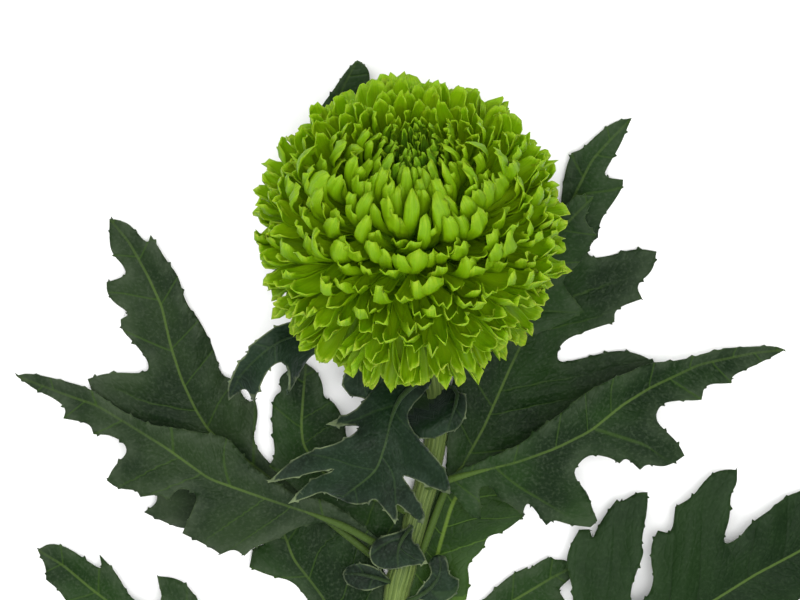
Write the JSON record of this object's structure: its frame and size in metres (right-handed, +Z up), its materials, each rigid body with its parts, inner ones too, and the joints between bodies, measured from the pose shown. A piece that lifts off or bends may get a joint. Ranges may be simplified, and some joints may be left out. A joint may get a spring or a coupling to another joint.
{
  "type": "cut chrysanthemum flower",
  "caption": "Cut chrysanthemum stem with one round, incurved, yellow-green bloom and lobed dark green leaves, lying on a table as a cut flower for arrangements.",
  "frame": {"origin": "on the table, at the middle of the footprint of the whole lying flower", "axes": "+Z up from the table; +Y along the stem from its cut end towards the bloom; +X to the right seen from above with the bloom at the top"},
  "size_m": [0.247, 0.2878, 0.0872],
  "materials": {
    "petals": "soft satin, bright lime green petals, deeper green in the cups and at the heart",
    "calyx": "matt mid green",
    "stem": "matt, finely ribbed, pale grey-green",
    "leaf": "matt, downy dark green with pale veins",
    "young_leaf": "matt, lighter yellow-green with a bright midrib",
    "bract": "matt, bluish grey-green with pale rims"
  },
  "bodies": {
    "root": {"stem": "stem", "leaf_left_front": "leaf", "leaf_left_back": "leaf", "leaf_back_left": "leaf", "leaf_neck_left": "leaf", "leaf_neck_front": "leaf", "leaf_neck_right": "leaf", "leaf_right_front": "leaf", "leaf_right_back": "leaf", "leaf_low_left": "leaf", "leaf_low_right": "young_leaf", "leaf_low_right_small": "leaf", "leaf_base_left": "leaf", "leaf_base_right": "leaf", "leaf_top_back": "leaf", "leaf_back_right": "leaf", "leaf_neck_small": "leaf", "bract_front": "bract", "bract_left": "bract", "bract_right": "bract", "bloom": "petals", "calyx": "calyx"}
  },
  "joints": []
}
